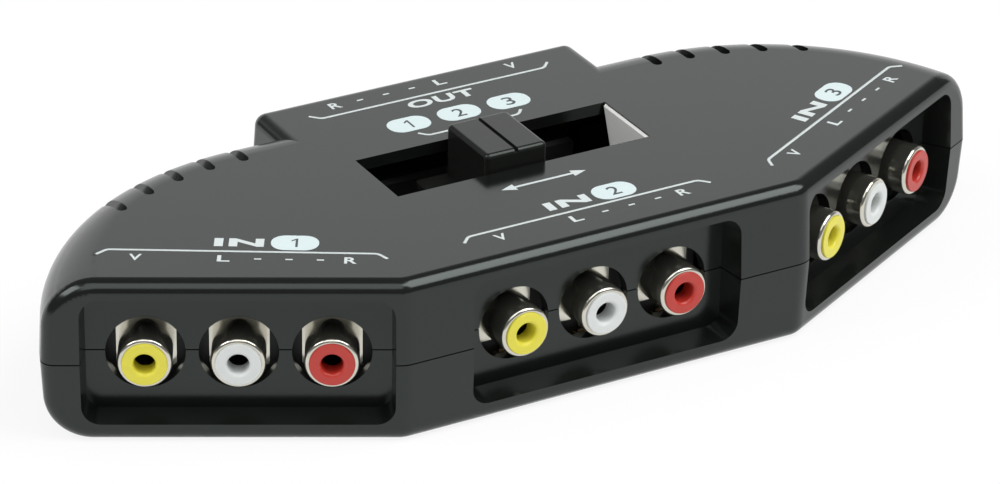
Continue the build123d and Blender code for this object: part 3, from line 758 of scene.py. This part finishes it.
class SWITCH_BOX_OT_marks(bpy.types.Operator):
    """Print the ovals, numerals, letters and bracket lines on the roof"""

    bl_idname = "switch_box.marks"
    bl_label = "Printed marks"

    # Places and sizes are in millimetres from here on
    # Each input's print: place of its bracket along the row and behind the barrels' fronts, and its skew
    input_prints = {
        "input_1": (0.53, 9.1, radians(-1.9)),
        "input_2": (0.7, 7.8, radians(0.1)),
        "input_3": (-0.37, 8.13, radians(0.7)),
    }
    oval_along = {"input_1": 7.75, "input_2": 7.1, "input_3": 6.9}
    bracket_half = 20.3
    bracket_end = (1.5, -1.6)
    oval_back = 3.05
    word_along = -8.4
    word_back = 2.9
    word_width = 7.5
    letter_back = -2.35
    letter_width = 1.9
    letter_spots = {"V": -15.9, "L": -2.7, "R": 16.3}
    dash_spots = (2.4, 7.1, 11.8)
    dash_length = 1.1
    dash_width = 0.35
    output_bracket_y = 24.05
    output_letter_y = 27.2
    output_word_y = 21.65
    output_word_width = 12.0
    selector_oval_y = 15.85
    selector_oval_step = 9.05
    selector_bracket_y = 10.95
    selector_bracket_half = 8.1
    selector_bracket_end = (1.2, 1.4)
    ink_lift = 0.002
    # Place and turn of the prints that follow no row
    roof_middle = (Vector((0.0, 0.0, 0.0)), 0.0)
    # Swelling of the strokes, as shares of the letters' height
    letter_weight = 0.03
    word_weight = 0.06
    output_word_weight = 0.045
    numeral_weight = 0.01
    # Outline of the numeral 1 with its flag and the width of the others, as shares of the height
    numeral_one = (
        (0.03, -0.5),
        (0.16, -0.5),
        (0.16, 0.5),
        (0.05, 0.5),
        (-0.2, 0.3),
        (-0.2, 0.17),
        (0.03, 0.33),
    )
    numeral_share = 0.66
    arrow_y = -11.2
    arrow_half = 7.5
    arrow_head = 2.4
    arrow_head_half = 1.0
    arrow_shaft_half = 0.25

    def execute(self, context):
        self.marks = context.scene.switch_box.marks
        self.level = ROOF + self.ink_lift * MM
        self.letters = []
        self.numerals = []
        self.ovals = []
        self.paths = []
        for number, row in enumerate(INPUT_ROWS, 1):
            self.input_marks(row, str(number))
        self.output_marks()
        self.selector_marks()
        ink = printed_ink("print_ink", self.marks.ink)
        oval_ink = printed_ink("oval_ink", self.marks.oval_ink)
        numeral_ink = printed_ink("numeral_ink", self.marks.numeral_ink)
        places, turns = zip(*self.ovals)
        ovals = grow_ovals(places, turns, self.marks, oval_ink)
        brackets = grow_brackets(self.paths, self.marks, ink)
        letters = join_meshes("printed_letters", self.letters)
        numerals = join_meshes("printed_numerals", self.numerals)
        add_piece("printed_ovals", ovals, "case")
        add_piece("printed_brackets", brackets, "case")
        add_piece("printed_letters", letters, "case", ink)
        add_piece("printed_numerals", numerals, "case", numeral_ink)
        return {"FINISHED"}

    def spot(self, print_place, along, back, lift):
        """Transform of a mark: its place along and behind a print's origin, lifted off the roof."""
        origin, turn = print_place
        offset = Matrix.Rotation(turn, 4, "Z") @ Vector((along * MM, back * MM, 0.0))
        place = Vector((origin.x, origin.y, self.level + lift)) + offset
        return Matrix.Translation(place) @ Matrix.Rotation(turn, 4, "Z")

    def mark(self, mesh, print_place, along, back):
        """Add a mark to the printed letters."""
        self.letters.append((mesh, self.spot(print_place, along, back, self.marks.thickness / 2)))

    def write(self, body, width, height, print_place, along, back, weight):
        """Add printed letters that fill a box."""
        mesh = text_mesh(body, width * MM, height, self.marks.thickness, weight)
        self.mark(mesh, print_place, along, back)

    def channel_letters(self, print_place, back, direction):
        """Add the letters of a row's jacks and the dashes between the two audio letters."""
        height = self.marks.letter_height
        for letter, along in self.letter_spots.items():
            where = (print_place, direction * along, back)
            self.write(letter, self.letter_width, height, *where, self.letter_weight)
        half = Vector((self.dash_length, self.dash_width)) * MM / 2
        for along in self.dash_spots:
            outline = ((-half.x, -half.y), (half.x, -half.y), (half.x, half.y), (-half.x, half.y))
            self.mark(flat_mesh(outline, self.marks.thickness), print_place, direction * along, back)

    def oval(self, number, print_place, along, back):
        """Add a numbered oval."""
        thickness = self.marks.thickness
        height = self.marks.numeral_height
        self.ovals.append((self.spot(print_place, along, back, 0.0).translation, print_place[1]))
        if number == "1":
            mesh = flat_mesh([(x * height, y * height) for x, y in self.numeral_one], thickness)
        else:
            mesh = text_mesh(number, height * self.numeral_share, height, thickness, self.numeral_weight)
        self.numerals.append((mesh, self.spot(print_place, along, back, thickness)))

    def bracket(self, print_place, half, back, end):
        """Add a line along the row with both ends turned."""
        reach, drop = end
        corners = ((-half - reach, back + drop), (-half, back), (half, back), (half + reach, back + drop))
        lift = self.marks.thickness / 2
        self.paths.append([tuple(self.spot(print_place, x, y, lift).translation) for x, y in corners])

    def input_marks(self, row, number):
        """Marks of an input row: bracket, numbered oval, word and the letters of its jacks."""
        middle, turn = row_frame(row)
        along, back, skew = self.input_prints[row]
        offset = Matrix.Rotation(turn, 4, "Z") @ Vector((along * MM, back * MM, 0.0))
        print_place = (middle + offset, turn + skew)
        oval_along = self.oval_along[row]
        self.bracket(print_place, self.bracket_half, 0.0, self.bracket_end)
        self.oval(number, print_place, oval_along, self.oval_back)
        where = (print_place, oval_along + self.word_along, self.word_back)
        self.write("IN", self.word_width, self.marks.word_height, *where, self.word_weight)
        self.channel_letters(print_place, self.letter_back, 1)

    def output_marks(self):
        """Marks of the output row, which read from the front like the others."""
        reach, drop = self.bracket_end
        self.bracket(self.roof_middle, self.bracket_half, self.output_bracket_y, (reach, -drop))
        where = (self.roof_middle, 0.0, self.output_word_y)
        self.write("OUT", self.output_word_width, self.marks.word_height, *where, self.output_word_weight)
        self.channel_letters(self.roof_middle, self.output_letter_y, -1)

    def selector_marks(self):
        """Numbered ovals of the knob's three places, their bracket and the arrow in front of the slot."""
        for step in (-1, 0, 1):
            along = step * self.selector_oval_step
            self.oval(str(step + 2), self.roof_middle, along, self.selector_oval_y)
        half, back = self.selector_bracket_half, self.selector_bracket_y
        self.bracket(self.roof_middle, half, back, self.selector_bracket_end)
        neck = self.arrow_half - self.arrow_head
        half_arrow = [
            (neck, -self.arrow_shaft_half),
            (neck, -self.arrow_head_half),
            (self.arrow_half, 0.0),
            (neck, self.arrow_head_half),
            (neck, self.arrow_shaft_half),
        ]
        outline = half_arrow + [(-x, -y) for x, y in half_arrow]
        outline = [(x * MM, y * MM) for x, y in outline]
        self.mark(flat_mesh(outline, self.marks.thickness), self.roof_middle, 0.0, self.arrow_y)


class SWITCH_BOX_OT_stage(bpy.types.Operator):
    """Set the camera, the lamps and the white floor"""

    bl_idname = "switch_box.stage"
    bl_label = "Studio"

    # Name, place, point it looks at, width and height in metres, and brightness, where 1 is white
    lamps = (
        ("back_card", (0.5, 1.2, 0.42), (0.0, 0.0, 0.42), (3.6, 0.84), 0.94),
        ("back_haze", (0.5, 1.2, 0.95), (0.0, 0.0, 0.95), (3.6, 0.2), 0.45),
        ("right_softbox", (0.52, -0.46, 0.95), (0.0, 0.0, 0.0), (0.9, 0.82), 4.6),
        ("left_softbox", (-0.35, -0.45, 0.95), (0.0, 0.0, 0.0), (0.8, 0.8), 1.7),
        ("left_fill", (-0.85, 0.15, 0.8), (0.0, 0.0, 0.0), (0.7, 0.5), 4.6),
    )
    world_level = 0.16
    floor_half = 4.0
    floor_level = -0.02 * MM
    # Share of the floor that is plain white where it is seen; the rest takes the box's shadow
    floor_white = 0.86
    # Nearest and farthest that the camera sees, as multiples of its distance
    clip_range = (0.1, 20.0)

    def execute(self, context):
        look = context.scene.switch_box.stage
        context.scene.view_settings.view_transform = "Standard"
        self.add_camera(context, look)
        self.add_floor(look)
        self.add_world(context)
        for lamp in self.lamps:
            self.add_lamp(*lamp)
        return {"FINISHED"}

    def add_camera(self, context, look):
        """Camera at the photograph's viewing angle."""
        azimuth, elevation, roll = look.azimuth, look.elevation, look.roll
        back = Vector((sin(azimuth) * cos(elevation), -cos(azimuth) * cos(elevation), sin(elevation)))
        right = Vector((cos(azimuth), sin(azimuth), 0.0))
        up = back.cross(right)
        turned_right = right * cos(roll) + up * sin(roll)
        turned_up = up * cos(roll) - right * sin(roll)
        data = bpy.data.cameras.new("camera")
        data.sensor_width = SENSOR_WIDTH
        data.lens = look.focal_pixels / PHOTO_WIDTH_PX * SENSOR_WIDTH
        data.clip_start, data.clip_end = (look.distance * factor for factor in self.clip_range)
        camera = new_object("camera", data)
        place = Matrix((turned_right, turned_up, back)).transposed().to_4x4()
        place.translation = Vector(look.target) + back * look.distance
        camera.matrix_world = place
        context.scene.camera = camera

    def add_floor(self, look):
        """White floor that keeps a faint shadow."""
        half, level = self.floor_half, self.floor_level
        corners = [(-half, -half, level), (half, -half, level), (half, half, level), (-half, half, level)]
        mesh = bpy.data.meshes.new("floor")
        mesh.from_pydata(corners, [], [(0, 1, 2, 3)])
        floor = new_object("floor", mesh)
        finish = Finish("floor_white")
        rays = finish.node("ShaderNodeLightPath").outputs
        camera, glossy, transmitted = (
            Number(finish, rays[f"Is {kind} Ray"]) for kind in ("Camera", "Glossy", "Transmission")
        )
        seen = camera + glossy + transmitted
        lit = finish.node("ShaderNodeBsdfDiffuse", None, {"Color": look.floor_colour}).outputs[0]
        white = {"Color": (1.0, 1.0, 1.0), "Strength": 1.0}
        bright = finish.node("ShaderNodeEmission", None, white).outputs[0]
        blend = finish.node("ShaderNodeMixShader", None, {0: seen * self.floor_white, 1: lit, 2: bright})
        finish.feed(finish.output.inputs["Surface"], blend.outputs[0])
        mesh.materials.append(finish.material)

    def add_world(self, context):
        """Grey world that fills in between the lamps."""
        world = bpy.data.worlds.new("studio")
        context.scene.world = world
        world.use_nodes = True
        background = world.node_tree.nodes["Background"].inputs
        background["Color"].default_value = (1.0, 1.0, 1.0, 1.0)
        background["Strength"].default_value = self.world_level

    def add_lamp(self, name, spot, target, size, brightness):
        """A rectangular soft lamp that looks at the target."""
        data = bpy.data.lights.new(name, "AREA")
        data.shape = "RECTANGLE"
        data.size, data.size_y = size
        data.energy = brightness * pi * size[0] * size[1]
        lamp = new_object(name, data)
        lamp.location = spot
        lamp.rotation_euler = (Vector(target) - Vector(spot)).to_track_quat("-Z", "Y").to_euler()


class SWITCH_BOX_PT_panel(bpy.types.Panel):
    """Settings and steps of the box"""

    bl_label = "Switch Box"
    bl_space_type = "VIEW_3D"
    bl_region_type = "UI"
    bl_category = "Switch Box"

    def draw(self, context):
        look = context.scene.switch_box
        for group in (look.case, look.jacks, look.marks, look.stage):
            box = self.layout.box()
            for key in group.__annotations__:
                box.prop(group, key)
        for operator in OPERATORS:
            self.layout.operator(operator.bl_idname)


OPERATORS = (
    SWITCH_BOX_OT_case,
    SWITCH_BOX_OT_screws,
    SWITCH_BOX_OT_jacks,
    SWITCH_BOX_OT_board,
    SWITCH_BOX_OT_switch,
    SWITCH_BOX_OT_marks,
    SWITCH_BOX_OT_stage,
)
CLASSES = (CaseLook, JackLook, PrintLook, StageLook, SwitchBoxLook, *OPERATORS, SWITCH_BOX_PT_panel)


def register():
    """Register the classes and hang the settings on the scene."""
    for item in CLASSES:
        bpy.utils.register_class(item)
    bpy.types.Scene.switch_box = PointerProperty(type=SwitchBoxLook)


def unregister():
    """Take the settings and classes away again."""
    del bpy.types.Scene.switch_box
    for item in reversed(CLASSES):
        bpy.utils.unregister_class(item)


def main():
    """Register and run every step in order."""
    register()
    bpy.ops.switch_box.case()
    bpy.ops.switch_box.screws()
    bpy.ops.switch_box.jacks()
    bpy.ops.switch_box.board()
    bpy.ops.switch_box.switch()
    bpy.ops.switch_box.marks()
    bpy.ops.switch_box.stage()


if __name__ == "__main__":
    main()
